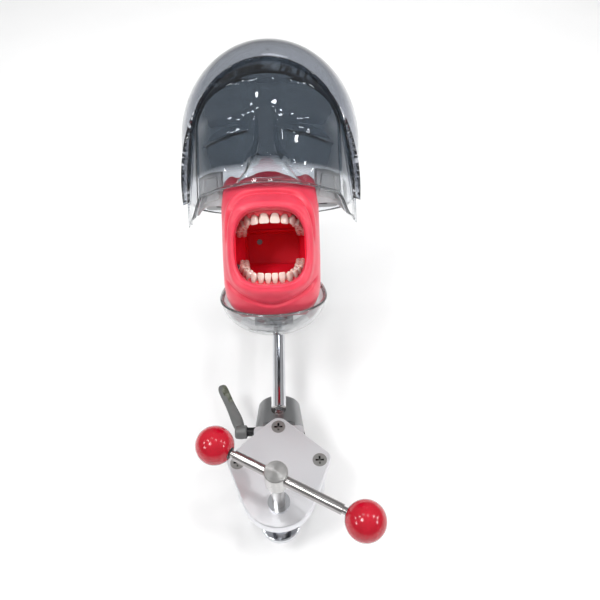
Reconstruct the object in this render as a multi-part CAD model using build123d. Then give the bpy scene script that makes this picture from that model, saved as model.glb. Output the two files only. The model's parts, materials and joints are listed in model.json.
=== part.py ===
from build123d import *
from math import atan2, cos, degrees, pi, radians, sin, sqrt
import os

# Bench-clamp dental phantom head with a typodont: millimetres, +Z up.
# +Z is the clamp-screw axis, up from the bench top. +Y runs out from the bench edge along the post.
# The origin is on the fixed jaw's face, on the screw axis.

# --- clamp ---
PLATE_BOTTOM = 55.0
PLATE_TOP = 65.0
PLATE_SCREWS = [(0.0, 68.5), (34.3, 36.1), (-34.3, 36.1)]
JAW_SCREWS = [(0.0, 60.0), (30.0, 38.0), (-30.0, 38.0)]
BLOCK_HALF_WIDTH = 39.0
THROAT_Y = 30.0
NOSE_HALF_WIDTH = 22.0
BLOCK_END_Y = 75.0
JAW_THICKNESS = 10.0
JAW_STEP = 1.0
RELIEF = 0.5
TONGUE_R = 11.0
TONGUE_Y = 9.0
M6_R = 3.0
M6_HEAD_R = 6.0
M6_SINK = 3.0
BUSHING_R = 8.0
BOLT_SPREAD = 12.5
BOLT_R = 2.0
RECESS = (7.0, 1.6, 2.0)

# --- clamp screw ---
SPINDLE_R = 5.0
RUNNING_CLEARANCE = 0.05
PAD_R = 17.0
PAD_FACE_Z = 22.0
PAD_TOP_Z = 28.0
PAD_BOSS_TOP_Z = 34.0
RETAINER_Z = 31.2
RETAINER_R = 7.0
SPINDLE_TIP_R = 4.0
SPINDLE_NECK_R = 3.0
HEAD_R = 9.0
HEAD_BOTTOM_Z = 103.0
HEAD_TOP_Z = 121.0
BAR_Z = 113.2
BAR_R = 4.0
BAR_ANGLE = -29.8
KNOB_R = 15.0
LEFT_KNOB_S = -54.1
RIGHT_KNOB_S = 72.4
BAR_END_R = 2.8
INSERT_R = 4.6

# --- ball joint and lock lever ---
BALL_Y = 91.0
POST_Z = 37.0
BALL_R = 14.0
POST_R = 6.0
POST_END_Y = 252.0
HOUSING_END_Y = 107.0
HOUSING_BASE_R = 23.0
HOUSING_RIM_R = 19.0
SLOT_WIDTH = 13.4
LOCK_Y = 80.0
STUD_R = 4.0
HUB_R = 6.2
SPLINE_R = 4.5
LEVER_THICKNESS = 8.0

# --- head: placed by the jaw hinge and leaning forward from the post ---
JAW_Y = 202.8
JAW_Z = 145.9
HEAD_LEAN = -49.3
UPPER_BITE = -9.5
LOWER_BITE = 21.4
NECK_Y = 235.0
NECK_Z = 52.0
NECK_HALF_WIDTH = 16.0
AXLE_R = 4.0
CHEEK_INNER = 27.0
CHEEK_OUTER = 30.0
ARM_INNER = 30.5
ARM_OUTER = 33.5
PIN_R = 3.0
SHEET = 3.0
M3_R = 1.5
M3_HEAD_R = 2.8
M5_R = 2.5
LINER_SCREWS = [(-17.5, -17.5), (17.5, -17.5)]

# --- typodont: z is measured from the jaw hinge, square to the bite plane ---
BITE_Z = 3.5
BITE_GAP = 0.3
CROWN = 8.5
ARCH_POWER = 2.5
GUM_HALF = 6.8
ARCH_SCREW_Y = -44.0
UPPER_ARCH = {"half_width": 25.5, "depth": 45.0, "front": -75.5}
LOWER_ARCH = {"half_width": 24.0, "depth": 42.5, "front": -72.4}
UPPER_TEETH = [
    ("incisors", 8.6, 6.6),
    ("incisors", 6.8, 6.0),
    ("canines", 7.6, 7.4),
    ("premolars", 7.0, 8.6),
    ("premolars", 6.7, 8.8),
    ("molars", 10.0, 10.6),
    ("molars", 9.6, 10.4),
]
LOWER_TEETH = [
    ("incisors", 5.4, 5.6),
    ("incisors", 5.9, 5.8),
    ("canines", 6.9, 7.0),
    ("premolars", 7.1, 7.6),
    ("premolars", 7.2, 8.0),
    ("molars", 11.0, 9.8),
    ("molars", 10.2, 9.6),
]

# --- clear shells, in the head's own frame: x right, y back, z towards the crown, from the jaw hinge ---
FORM_CENTRE_Z = 104.0
SHELL_Y = 24.0
SHELL_AXES = (83.0, 90.0, 92.0)
MASK_Y = 26.0
MASK_AXES = (76.0, 104.0, 88.0)
SHELL_WALL = 2.2
RIM_Z = 45.0
SPLIT_TOP = (-62.0, 150.0)
SPLIT_BOTTOM = (0.0, RIM_Z)

# --- chin guard, in the lower bite's frame ---
CHIN_CENTRE = (0.0, -46.0, -26.0)
CHIN_AXES = (46.5, 41.0, 31.0)
CHIN_RIM_Z = -24.5

HEAD = Pos(0, JAW_Y, JAW_Z) * Rot(X=HEAD_LEAN)
UPPER = HEAD * Rot(X=UPPER_BITE)
LOWER = HEAD * Rot(X=LOWER_BITE)


# ---------- helpers ----------

def rod(start, end, radius, radius_end=None):
    """A round bar from one point to another, tapered when a second radius is given."""
    start, end = Vector(*start), Vector(*end)
    axis = end - start
    plane = Plane(origin=start, z_dir=axis)
    if radius_end is None:
        return extrude(plane * Circle(radius), amount=axis.length)
    return loft([plane * Circle(radius), plane.offset(axis.length) * Circle(radius_end)])


def block(x, y, z):
    """A box between two limits on each axis."""
    size = (x[1] - x[0], y[1] - y[0], z[1] - z[0])
    centre = ((x[0] + x[1]) / 2, (y[0] + y[1]) / 2, (z[0] + z[1]) / 2)
    return Pos(*centre) * Box(*size)


def hull(circles):
    """The flat outline stretched round circles given as (x, y, radius)."""
    edges = [(Pos(x, y) * Circle(r)).edge() for x, y, r in circles]
    return make_hull(edges)


def side_plate(circles, x_inner, x_outer):
    """A plate in the YZ plane, from circles given as (y, z, radius)."""
    plane = Plane(origin=(x_inner, 0, 0), x_dir=(0, 1, 0), z_dir=(1, 0, 0))
    return extrude(plane * hull(circles), amount=x_outer - x_inner)


def pair(shape):
    """A part and its mirror image across the middle plane."""
    return [shape, mirror(shape, Plane.YZ)]


def socket_screw(start, direction, head_r, head_length, shank_r, length):
    """A cap screw: head at start, shank along direction."""
    start, direction = Vector(*start), Vector(*direction).normalized()
    neck = start + direction * head_length
    screw = rod(start, neck, head_r) + rod(neck, neck + direction * length, shank_r)
    return screw - rod(start, start + direction * (head_length * 0.55), head_r * 0.5)


def save(name, shape):
    """Writes one node; a list becomes a group of separate solids."""
    if isinstance(shape, list):
        shape = Compound(children=[solid for item in shape for solid in item.solids()])
    export_step(shape, f"parts/{name}.step")


# ---------- clamp ----------

def screw_form(x, y, top, length, sign):
    """The head cone and the shank of a flat-head screw flush at top; sign is its direction along Z."""
    neck = top + sign * M6_SINK
    head = rod((x, y, top), (x, y, neck), M6_HEAD_R, M6_R)
    return head, rod((x, y, neck), (x, y, top + sign * length), M6_R)


def countersunk_screw(x, y, top, length, sign):
    """A flat-head screw with a cross recess, flush at top."""
    head, shank = screw_form(x, y, top, length, sign)
    span, width, depth = RECESS
    slot = Box(span, width, depth) + Box(width, span, depth)
    return head + shank - Pos(x, y, top + sign * depth / 2) * slot


def bolt_spots():
    """Where the four housing bolts pass through the clamp block, as (x, z)."""
    return [(x, POST_Z + z) for x in (-BOLT_SPREAD, BOLT_SPREAD) for z in (-BOLT_SPREAD, BOLT_SPREAD)]


def make_clamp():
    outline = hull([(0, 68.5, 9), (-37, 39, 6.5), (37, 39, 6.5), (0, 10, 30)])
    plate = extrude(Pos(0, 0, PLATE_BOTTOM) * outline, amount=PLATE_TOP - PLATE_BOTTOM)
    plate = chamfer(plate.faces().sort_by(Axis.Z)[-1].edges(), 0.8)
    plate -= rod((0, 0, PLATE_BOTTOM), (0, 0, PLATE_TOP), BUSHING_R)

    collar_top = PLATE_TOP + 2.5
    bushing = rod((0, 0, PLATE_BOTTOM), (0, 0, PLATE_TOP), BUSHING_R)
    bushing += rod((0, 0, PLATE_TOP), (0, 0, collar_top), HEAD_R)
    bushing -= rod((0, 0, PLATE_BOTTOM), (0, 0, collar_top), SPINDLE_R + RUNNING_CLEARANCE)

    corner_x = BLOCK_HALF_WIDTH - 5
    corners = [(side * corner_x, y, 5) for side in (-1, 1) for y in (THROAT_Y + 5, 40)]
    body = extrude(Pos(0, 0, -JAW_STEP) * hull([*corners, (0, 64, 10)]), amount=PLATE_BOTTOM + JAW_STEP)
    body -= block((-60, 60), (THROAT_Y, THROAT_Y + RELIEF), (-JAW_STEP, RELIEF))
    nose = block((-NOSE_HALF_WIDTH, NOSE_HALF_WIDTH), (45, BLOCK_END_Y), (8, PLATE_BOTTOM))
    body += fillet(nose.edges().filter_by(Axis.Z).sort_by(Axis.Y)[2:], 4.0)

    jaw_outline = hull([(side * corner_x, y, 5) for side in (-1, 1) for y in (37, 42)] + [(0, 60, 14)])
    jaw_outline += hull([(0, TONGUE_Y, TONGUE_R), (0, 45, 20)])
    jaw = extrude(Pos(0, 0, -JAW_THICKNESS) * jaw_outline, amount=JAW_THICKNESS)
    jaw -= block((-60, 60), (THROAT_Y, 80), (-JAW_STEP, 0))

    bolts = []
    for x, z in bolt_spots():
        body -= rod((x, THROAT_Y, z), (x, THROAT_Y + 4.5, z), 3.8)
        body -= rod((x, THROAT_Y + 4.5, z), (x, BLOCK_END_Y, z), BOLT_R)
        bolts.append(socket_screw((x, THROAT_Y + 0.5, z), (0, 1, 0), 3.5, 4.0, BOLT_R, 50.0))

    plate_screws = []
    for x, y in PLATE_SCREWS:
        head, shank = screw_form(x, y, PLATE_TOP, 12.0, -1)
        plate -= head + shank
        body -= shank
        plate_screws.append(countersunk_screw(x, y, PLATE_TOP, 12.0, -1))

    jaw_screws = []
    for x, y in JAW_SCREWS:
        head, shank = screw_form(x, y, -JAW_THICKNESS, 18.0, 1)
        jaw -= head + shank
        body -= shank
        jaw_screws.append(countersunk_screw(x, y, -JAW_THICKNESS, 18.0, 1))

    save("front_plate", plate)
    save("clamp_block", body)
    save("fixed_jaw", jaw)
    save("plate_screws", plate_screws)
    save("jaw_screws", jaw_screws)
    save("screw_bushing", bushing)
    save("housing_bolts", bolts)


def make_ball_housing():
    """The turned cup on the clamp block that holds the swivel ball, and the soft seat behind the ball."""
    housing = rod((0, BLOCK_END_Y, POST_Z), (0, HOUSING_END_Y, POST_Z), HOUSING_BASE_R, HOUSING_RIM_R)
    housing = fillet(housing.edges().sort_by(Axis.Y)[-1], 3.0)
    bore_r = BALL_R + 0.2
    lip_r = 11.5
    seat_r = BALL_R + RUNNING_CLEARANCE
    lip_y = BALL_Y + sqrt(seat_r**2 - lip_r**2)
    housing -= rod((0, BLOCK_END_Y, POST_Z), (0, BALL_Y, POST_Z), bore_r)
    housing -= Pos(0, BALL_Y, POST_Z) * Sphere(seat_r)
    housing -= rod((0, lip_y - 0.01, POST_Z), (0, HOUSING_END_Y, POST_Z), lip_r, 14.0)
    slot = block((-SLOT_WIDTH / 2, SLOT_WIDTH / 2), (BALL_Y, HOUSING_END_Y), (POST_Z, POST_Z + 25))
    slot += rod((0, BALL_Y, POST_Z), (0, BALL_Y, POST_Z + 25), SLOT_WIDTH / 2)
    housing -= slot
    housing -= block((-24, 24), (BLOCK_END_Y, 78.0), (PLATE_BOTTOM - 0.2, 62))
    housing -= rod((-HOUSING_BASE_R, LOCK_Y, POST_Z), (-10, LOCK_Y, POST_Z), STUD_R + RUNNING_CLEARANCE)
    for x, z in bolt_spots():
        housing -= rod((x, BLOCK_END_Y, z), (x, THROAT_Y + 54.5, z), BOLT_R)
    save("ball_housing", housing)

    seat = rod((0, BLOCK_END_Y, POST_Z), (0, 84.0, POST_Z), BALL_R - 0.1)
    seat -= Pos(0, BALL_Y, POST_Z) * Sphere(seat_r)
    seat -= rod((-13.9, LOCK_Y, POST_Z), (-11.9, LOCK_Y, POST_Z), STUD_R, 2.4)
    save("ball_seat", seat)


# ---------- clamp screw ----------

def make_clamp_screw():
    pad = rod((0, 0, PAD_FACE_Z), (0, 0, PAD_TOP_Z), PAD_R)
    pad = fillet(pad.edges(), 1.2)
    pad += rod((0, 0, PAD_TOP_Z), (0, 0, PAD_BOSS_TOP_Z), HEAD_R)
    pad -= rod((0, 0, PAD_TOP_Z - 0.1), (0, 0, RETAINER_Z), SPINDLE_TIP_R + RUNNING_CLEARANCE)
    retainer = rod((0, 0, RETAINER_Z), (0, 0, PAD_BOSS_TOP_Z), RETAINER_R)
    pad -= retainer
    retainer -= rod((0, 0, RETAINER_Z), (0, 0, PAD_BOSS_TOP_Z), SPINDLE_NECK_R + RUNNING_CLEARANCE)
    save("pressure_pad", pad)
    save("pad_retainer", retainer)

    neck_low = RETAINER_Z - 0.2
    neck_high = PAD_BOSS_TOP_Z + 0.3
    spindle = rod((0, 0, PAD_TOP_Z), (0, 0, neck_low), SPINDLE_TIP_R)
    spindle += rod((0, 0, neck_low), (0, 0, neck_high), SPINDLE_NECK_R)
    spindle += rod((0, 0, neck_high), (0, 0, HEAD_BOTTOM_Z - 5), SPINDLE_R)
    spindle += rod((0, 0, HEAD_BOTTOM_Z - 5), (0, 0, HEAD_BOTTOM_Z), 6.0, 7.5)
    head = rod((0, 0, HEAD_BOTTOM_Z), (0, 0, HEAD_TOP_Z), HEAD_R)
    spindle += chamfer(head.edges(), 0.6)
    along = Pos(0, 0, BAR_Z) * Rot(Z=BAR_ANGLE)
    spindle -= along * rod((-12, 0, 0), (12, 0, 0), BAR_R + RUNNING_CLEARANCE)
    save("spindle", spindle)

    shoulder = KNOB_R + 3.0
    bar = rod((LEFT_KNOB_S + shoulder, 0, 0), (RIGHT_KNOB_S - shoulder, 0, 0), BAR_R)
    inserts = []
    for name, s in (("left_knob", LEFT_KNOB_S), ("right_knob", RIGHT_KNOB_S)):
        inward = -1 if s > 0 else 1
        mouth = s + inward * (KNOB_R - 0.6)
        inner = s + inward * 5
        bar += rod((s + inward * shoulder, 0, 0), (inner, 0, 0), BAR_END_R)
        insert = rod((mouth, 0, 0), (inner, 0, 0), INSERT_R)
        insert -= rod((mouth, 0, 0), (inner, 0, 0), BAR_END_R)
        inserts.append(along * insert)
        knob = Pos(s, 0, 0) * Sphere(KNOB_R)
        knob -= rod((s + inward * KNOB_R, 0, 0), (inner, 0, 0), INSERT_R)
        save(name, along * knob)
    save("t_bar", along * bar)
    save("knob_inserts", inserts)


# ---------- lock lever ----------

def make_lock_lever():
    centre = (LOCK_Y, POST_Z)
    stud = rod((-29, *centre), (-14.2, *centre), STUD_R)
    stud += rod((-14.2, *centre), (-13.9, *centre), STUD_R, STUD_R - 0.3)
    stud += rod((-13.9, *centre), (-12.3, *centre), STUD_R - 0.3, 2.2)
    stud += rod((-33, *centre), (-29, *centre), SPLINE_R)
    stud += rod((-38.2, *centre), (-33, *centre), 3.0)
    stud -= rod((-38.2, *centre), (-31, *centre), 1.5)
    screw = rod((-39.7, *centre), (-38.2, *centre), 4.3)
    screw += rod((-38.2, *centre), (-31, *centre), 1.5)
    screw -= rod((-39.7, *centre), (-38.9, *centre), 1.4)
    spring = rod((-38.1, *centre), (-34.8, *centre), 4.2) - rod((-38.1, *centre), (-34.8, *centre), 3.3)
    hub = rod((-40, *centre), (-29.5, *centre), HUB_R)
    bends = [(-36.5, 84, 3.4), (-41.5, 96, 4.6), (-48, 112, 4.0), (-54.5, 126, 4.8)]
    arm = hull(bends[:2]) + hull(bends[1:3]) + hull(bends[2:])
    arm = extrude(Pos(0, 0, POST_Z - LEVER_THICKNESS / 2) * arm, amount=LEVER_THICKNESS)
    lever = hub + arm
    lever -= rod((-33.3, *centre), (-29, *centre), SPLINE_R + RUNNING_CLEARANCE)
    lever -= rod((-35, *centre), (-33, *centre), 3.0 + RUNNING_CLEARANCE)
    lever -= rod((-41, *centre), (-34.6, *centre), 4.6)
    save("lock_stud", stud)
    save("lever_screw", screw)
    save("lever_spring", spring)
    save("lever_arm", lever)


# ---------- post and neck ----------

def make_post_and_neck():
    ball = Pos(0, BALL_Y, POST_Z) * Sphere(BALL_R)
    bore = rod((0, BALL_Y - 5, POST_Z), (0, BALL_Y + 20, POST_Z), POST_R)
    save("swivel_ball", ball - bore)
    post = rod((0, BALL_Y - 5, POST_Z), (0, POST_END_Y, POST_Z), POST_R)
    save("post", chamfer(post.edges().sort_by(Axis.Y)[-1], 1.0))

    neck = block((-NECK_HALF_WIDTH, NECK_HALF_WIDTH), (NECK_Y - 13, NECK_Y + 13), (26, NECK_Z + 8))
    neck = fillet(neck.edges().filter_by(Axis.X), 4.0)
    neck -= rod((0, 200, POST_Z), (0, 270, POST_Z), POST_R + RUNNING_CLEARANCE)
    neck -= rod((-20, NECK_Y, NECK_Z), (20, NECK_Y, NECK_Z), AXLE_R + RUNNING_CLEARANCE)
    neck -= rod((0, NECK_Y, 24), (0, NECK_Y, POST_Z), STUD_R + RUNNING_CLEARANCE)
    save("neck_block", neck)
    screw = rod((0, NECK_Y, 14), (0, NECK_Y, POST_Z - POST_R - 0.1), STUD_R)
    lobes = [(11 * cos(a * pi / 3), 11 * sin(a * pi / 3), 4) for a in range(6)]
    knob = Pos(0, NECK_Y, 0) * hull(lobes)
    save("neck_thumbscrew", screw + extrude(Pos(0, 0, 8) * knob, amount=14))

    nut_height = 6.0
    axle_end = CHEEK_OUTER + nut_height
    axle = rod((-axle_end, NECK_Y, NECK_Z), (axle_end, NECK_Y, NECK_Z), AXLE_R)
    save("neck_axle", axle)
    spacer = rod((NECK_HALF_WIDTH + 0.3, NECK_Y, NECK_Z), (CHEEK_INNER, NECK_Y, NECK_Z), 7.0)
    save("neck_spacers", pair(spacer - axle))
    flat = Plane(origin=(CHEEK_OUTER, NECK_Y, NECK_Z), z_dir=(1, 0, 0))
    nut = extrude(flat * RegularPolygon(7.5, 6), amount=nut_height)
    save("neck_nuts", pair(nut - axle))


# ---------- typodont arches ----------

def arch_points(arch, count=400):
    """Points along one half of the arch, a superellipse, with the distance run from the midline."""
    centre_y = arch["front"] + arch["depth"]
    points = []
    run = 0.0
    for i in range(count + 1):
        t = radians(90) * i / count
        x = arch["half_width"] * sin(t) ** (2 / ARCH_POWER)
        y = centre_y - arch["depth"] * cos(t) ** (2 / ARCH_POWER)
        if points:
            run += sqrt((x - points[-1][1]) ** 2 + (y - points[-1][2]) ** 2)
        points.append((run, x, y))
    return points


def arch_place(arch, run):
    """Place and outward angle on the arch at a distance from the midline."""
    points = arch_points(arch)
    i = min(range(1, len(points) - 1), key=lambda k: abs(points[k][0] - run))
    (_, x0, y0), (_, x1, y1) = points[max(i - 8, 0)], points[min(i + 8, len(points) - 1)]
    return points[i][1], points[i][2], degrees(atan2(y1 - y0, x1 - x0))


def tooth(kind, width, thickness, root):
    """One tooth, edge at z = 0 and root up: a lofted crown on a round peg."""
    edge = {"incisors": 0.34, "canines": 0.45, "premolars": 0.72, "molars": 0.8}[kind]
    sections = [(0.0, 0.84, edge), (3.5, 0.9, 0.9), (CROWN, 0.72, 0.8)]
    profiles = []
    for z, wide, thick in sections:
        w, t = width * wide, thickness * thick
        profiles.append(Pos(0, 0, z) * RectangleRounded(w, t, 0.3 * min(w, t)))
    peg = rod((0, 0, CROWN), (0, 0, CROWN + root), 0.27 * min(width, thickness))
    return loft(profiles, ruled=True) + peg


def gum_outline(arch, inner, outer):
    """The horseshoe between two offsets of the arch line."""
    length = arch_points(arch)[-1][0]
    runs = [length * f for f in (0.0, 0.12, 0.26, 0.42, 0.6, 0.8, 0.99)]
    sides = []
    for offset in (outer, -inner):
        right = []
        for run in runs:
            x, y, angle = arch_place(arch, run)
            if run == 0.0:
                x, angle = 0.0, 0.0
            nx, ny = sin(radians(angle)), -cos(radians(angle))
            right.append((x + offset * nx, y + offset * ny))
        sides.append([(-x, y) for x, y in reversed(right[1:])] + right)
    outer_line, inner_line = sides
    edges = Spline(*outer_line) + Spline(*inner_line)
    edges += Line(outer_line[0], inner_line[0])
    edges += Line(outer_line[-1], inner_line[-1])
    return make_face(edges)


def make_arch(prefix, arch, teeth, place, root, flip):
    """Teeth, gum, arch plate and screw of one jaw; flip turns the lower jaw over about the bite plane."""
    groups = {}
    run = 0.0
    for kind, width, thickness in teeth:
        run += width / 2
        x, y, angle = arch_place(arch, run)
        run += width / 2
        overbite = 0.5 if kind == "incisors" else 0.0
        body = Pos(x, y, BITE_GAP - overbite) * Rot(Z=angle) * tooth(kind, width, thickness, root)
        groups.setdefault(kind, []).extend(pair(body))
    gum_low = BITE_GAP + CROWN
    gum_high = gum_low + root + 1.5
    gum = extrude(Pos(0, 0, gum_low) * gum_outline(arch, GUM_HALF, GUM_HALF), amount=gum_high - gum_low)
    for items in groups.values():
        for item in items:
            gum -= item
    front = arch["front"] + 22
    plate_outline = hull([(-20, front, 7), (20, front, 7), (-22, -37, 4), (22, -37, 4)])
    plate = extrude(Pos(0, 0, gum_high) * plate_outline, amount=SHEET)
    shelf_top = gum_high + 2 * SHEET
    screw = rod((0, ARCH_SCREW_Y, gum_high), (0, ARCH_SCREW_Y, shelf_top), M5_R)
    plate -= screw
    knob = rod((0, ARCH_SCREW_Y, shelf_top), (0, ARCH_SCREW_Y, shelf_top + 6), 7.0)
    screw += chamfer(knob.edges(), 0.8)
    turn = place * Pos(0, 0, BITE_Z)
    for kind, items in groups.items():
        save(f"{prefix}_{kind}", [turn * upright(item, flip) for item in items])
    save(f"{prefix}_gum", turn * upright(gum, flip))
    save(f"{prefix}_arch_plate", turn * upright(plate, flip))
    save(f"{prefix}_arch_screw", turn * upright(screw, flip))
    return gum_high


def upright(shape, flip):
    """Mirrors a lower-jaw piece about its bite plane."""
    return mirror(shape, Plane.XY) if flip else shape


# ---------- head ----------

def head_form(y_centre, axes, shrink, front_bottom=RIM_Z):
    """Half ellipsoid on an elliptic drum: the head's rounded form, shrunk evenly."""
    a, b, c = (axis - shrink for axis in axes)
    dome = scale(Sphere(1), by=(a, b, c)) & Pos(0, 0, 100) * Box(400, 400, 200)
    drum = extrude(Ellipse(a, b), amount=-(FORM_CENTRE_Z - front_bottom))
    return Pos(0, y_centre, FORM_CENTRE_Z) * (dome + drum)


def split_side(front, gap):
    """Everything in front of, or behind, the slanting plane where mask and skull shell meet."""
    (y0, z0), (y1, z1) = SPLIT_BOTTOM, SPLIT_TOP
    lean = degrees(atan2(y1 - y0, z1 - z0))
    size = 500
    shift = -size / 2 - gap if front else size / 2 + gap
    return Pos(0, y0, z0) * Rot(X=-lean) * Pos(0, shift, 0) * Box(size, size, size)


def make_shells():
    outer = head_form(MASK_Y, MASK_AXES, 0)
    inner = head_form(MASK_Y, MASK_AXES, SHELL_WALL, RIM_Z - 1)
    nose_axes = (13.0, 25.0, 30.0)
    nose_at = Pos(0, MASK_Y - MASK_AXES[1] + 13, 72)
    outer_nose = nose_at * scale(Sphere(1), by=nose_axes)
    inner_nose = nose_at * scale(Sphere(1), by=tuple(a - SHELL_WALL for a in nose_axes))
    above_rim = block((-120, 120), (-150, 150), (RIM_Z, 300))
    mask = (outer + outer_nose - inner - inner_nose) & split_side(True, 0) & above_rim
    save("face_mask", HEAD * mask)

    shell = head_form(SHELL_Y, SHELL_AXES, 0) - head_form(SHELL_Y, SHELL_AXES, SHELL_WALL, RIM_Z - 1)
    save("rear_shell", HEAD * (shell & split_side(False, 1.0)))


def make_shroud():
    """Soft face shroud: a tube round the arches, with the mouth opening in front."""
    sections = [
        (57, -57, 38),
        (45, -65, 40),
        (38, -75, 41),
        (31, -86, 41),
        (-34, -82, 40),
        (-45, -72, 36),
        (-56, -60, 21),
    ]
    back = 16.0
    wall = 2.5

    def skin(inset):
        faces = []
        for z, front, half in sections:
            depth = back - front - inset
            middle = (front + inset + back) / 2
            radius = min(24 - inset, depth / 2 - 1, half - inset - 1)
            faces.append(Pos(0, middle, z) * RectangleRounded(2 * (half - inset), depth, radius))
        return loft(faces, ruled=True)

    shroud = skin(0) - skin(wall)
    mouth_plane = Plane(origin=(0, -60, -3), x_dir=(1, 0, 0), z_dir=(0, -1, 0))
    shroud -= extrude(mouth_plane * RectangleRounded(56, 60, 22), amount=40)
    open_back = block((-60, 60), (-9, back + 4), (-70, 70))
    shroud -= open_back
    save("face_shroud", HEAD * shroud)


def make_skull_frame(gum_high):
    """Bent-steel frame: cheek plates from the neck axle to the jaw hinge, and the shelf of the upper arch."""
    dy, dz = NECK_Y - JAW_Y, NECK_Z - JAW_Z
    lean = radians(HEAD_LEAN)
    neck_y = dy * cos(lean) + dz * sin(lean)
    neck_z = -dy * sin(lean) + dz * cos(lean)
    bite = radians(UPPER_BITE)
    shelf_z = gum_high + BITE_Z + SHEET
    rear_y, rear_z = -14.0, shelf_z - 3.5
    shelf_end = (rear_y * cos(bite) - rear_z * sin(bite), rear_y * sin(bite) + rear_z * cos(bite))
    cheek = side_plate([(0, 0, 8), (neck_y, neck_z, 9)], CHEEK_INNER, CHEEK_OUTER)
    cheek += side_plate([(0, 0, 8), (shelf_end[0], shelf_end[1], 6), (9, 34, 7)], CHEEK_INNER, CHEEK_OUTER)
    tab = block((16, CHEEK_INNER + 1), (2, 16), (38, 41))
    half = cheek + tab
    frame = half + mirror(half, Plane.YZ)
    shelf = block((-CHEEK_OUTER, CHEEK_OUTER), (-66, -10), (shelf_z, shelf_z + SHEET))
    shelf -= rod((0, ARCH_SCREW_Y, shelf_z), (0, ARCH_SCREW_Y, shelf_z + SHEET), M5_R + 0.1)
    frame += Rot(X=UPPER_BITE) * shelf
    frame += block((-28, 28), (-3.5, -0.5), (-22, 24))
    frame -= block((-200, 200), (-50, 50), (41, 80))
    frame -= rod((-50, 0, 0), (50, 0, 0), PIN_R)
    frame -= rod((-50, neck_y, neck_z), (50, neck_y, neck_z), AXLE_R)
    for x, z in LINER_SCREWS:
        frame -= rod((x, -5, z), (x, 1, z), M3_R)
    for x in (-21, 21):
        frame -= rod((x, 9, 37), (x, 9, 42), M5_R)
    save("skull_frame", HEAD * frame)

    pin = rod((CHEEK_INNER, 0, 0), (ARM_OUTER + 0.4, 0, 0), PIN_R)
    pin += rod((ARM_OUTER + 0.4, 0, 0), (ARM_OUTER + 2.6, 0, 0), 5.0)
    save("jaw_pins", [HEAD * item for item in pair(pin)])

    liner = block((-24, 24), (-20, -3.5), (-23, 17))
    liner = fillet(liner.edges().filter_by(Axis.Y), 6.0)
    hollow = block((-22.4, 22.4), (-20, -5.1), (-21.4, 15.4))
    liner -= fillet(hollow.edges().filter_by(Axis.Y), 4.4)
    liner -= rod((-12, -6, 8), (-12, -3, 8), 2.5)
    screws = []
    for x, z in LINER_SCREWS:
        liner -= rod((x, -6, z), (x, -3, z), M3_R)
        screws.append(HEAD * socket_screw((x, -7.1, z), (0, 1, 0), M3_HEAD_R, 2.0, M3_R, 4.6))
    save("mouth_liner", HEAD * liner)
    save("liner_screws", screws)


def make_mask_supports():
    """Flat yoke behind the shroud and the moulded clips that hold mask and skull shell."""
    yoke = block((-60, 60), (0, 18), (41, 44))
    for item in pair(block((50, 60), (-28, 1), (41, 44))):
        yoke += item
    yoke = fillet(yoke.edges().filter_by(Axis.Z).group_by(Axis.Y)[-1], 8.0)
    screws = []
    for x in (-21, 21):
        yoke -= rod((x, 9, 41), (x, 9, 44), M5_R)
        screws.append(HEAD * socket_screw((x, 9, 48), (0, 0, -1), 4.2, 4.0, M5_R, 7.0))
    save("mask_yoke", HEAD * yoke)
    save("yoke_screws", screws)

    clips = []
    for item in pair(block((45, 56.5), (-32, -12), (34, 66))):
        clip = fillet(item.edges().filter_by(Axis.X), 3.0)
        clip -= block((-60.2, 60.2), (-28.1, 20), (40.95, 44.05))
        clips.append(HEAD * clip)
    save("mask_clips", clips)


# ---------- mandible ----------

def make_mandible(gum_high):
    plate_top = BITE_Z - gum_high - SHEET
    plate_low = plate_top - SHEET
    outline = hull([(-17, -57, 5), (17, -57, 5), (-30.5, -32, 3), (30.5, -32, 3)])
    frame = extrude(Pos(0, 0, plate_low) * outline, amount=SHEET)
    elbow = (-21, plate_low + 6, 6)
    arm = side_plate([(0, 0, 7), elbow], ARM_INNER, ARM_OUTER)
    arm += side_plate([elbow, (-35, plate_low + 2, 2)], ARM_INNER, ARM_OUTER)
    for item in pair(arm):
        frame += item
    frame -= rod((-50, 0, 0), (50, 0, 0), PIN_R + RUNNING_CLEARANCE)
    frame -= rod((0, ARCH_SCREW_Y, plate_low), (0, ARCH_SCREW_Y, plate_top), M5_R + 0.1)
    for x in (-12, 12):
        frame -= rod((x, -57, plate_low), (x, -57, plate_top), M3_R)
    save("mandible_frame", LOWER * frame)

    foot_top = plate_low - 22
    bracket = block((-16, 16), (-61, -53), (plate_low - SHEET, plate_low))
    bracket += block((-16, 16), (-64, -61), (foot_top, plate_low))
    bracket += block((-16, 16), (-64, -50), (foot_top - SHEET, foot_top))
    screws = []
    for x in (-12, 12):
        bracket -= rod((x, -57, plate_low - SHEET), (x, -57, plate_low), M3_R)
        screws.append(LOWER * socket_screw((x, -57, plate_low - 5), (0, 0, 1), M3_HEAD_R, 2.0, M3_R, 5.5))

    centre = Pos(*CHIN_CENTRE)
    outer = centre * scale(Sphere(1), by=CHIN_AXES)
    inner = centre * scale(Sphere(1), by=tuple(axis - SHELL_WALL for axis in CHIN_AXES))
    guard = (outer - inner) & block((-60, 60), (-120, -30), (-80, CHIN_RIM_Z))
    for x in (-8, 8):
        hole = rod((x, -57, -65), (x, -57, foot_top), M3_R)
        guard -= hole
        bracket -= hole
    save("chin_guard", LOWER * guard)
    save("chin_bracket", LOWER * bracket)
    save("chin_bracket_screws", screws)


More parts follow.
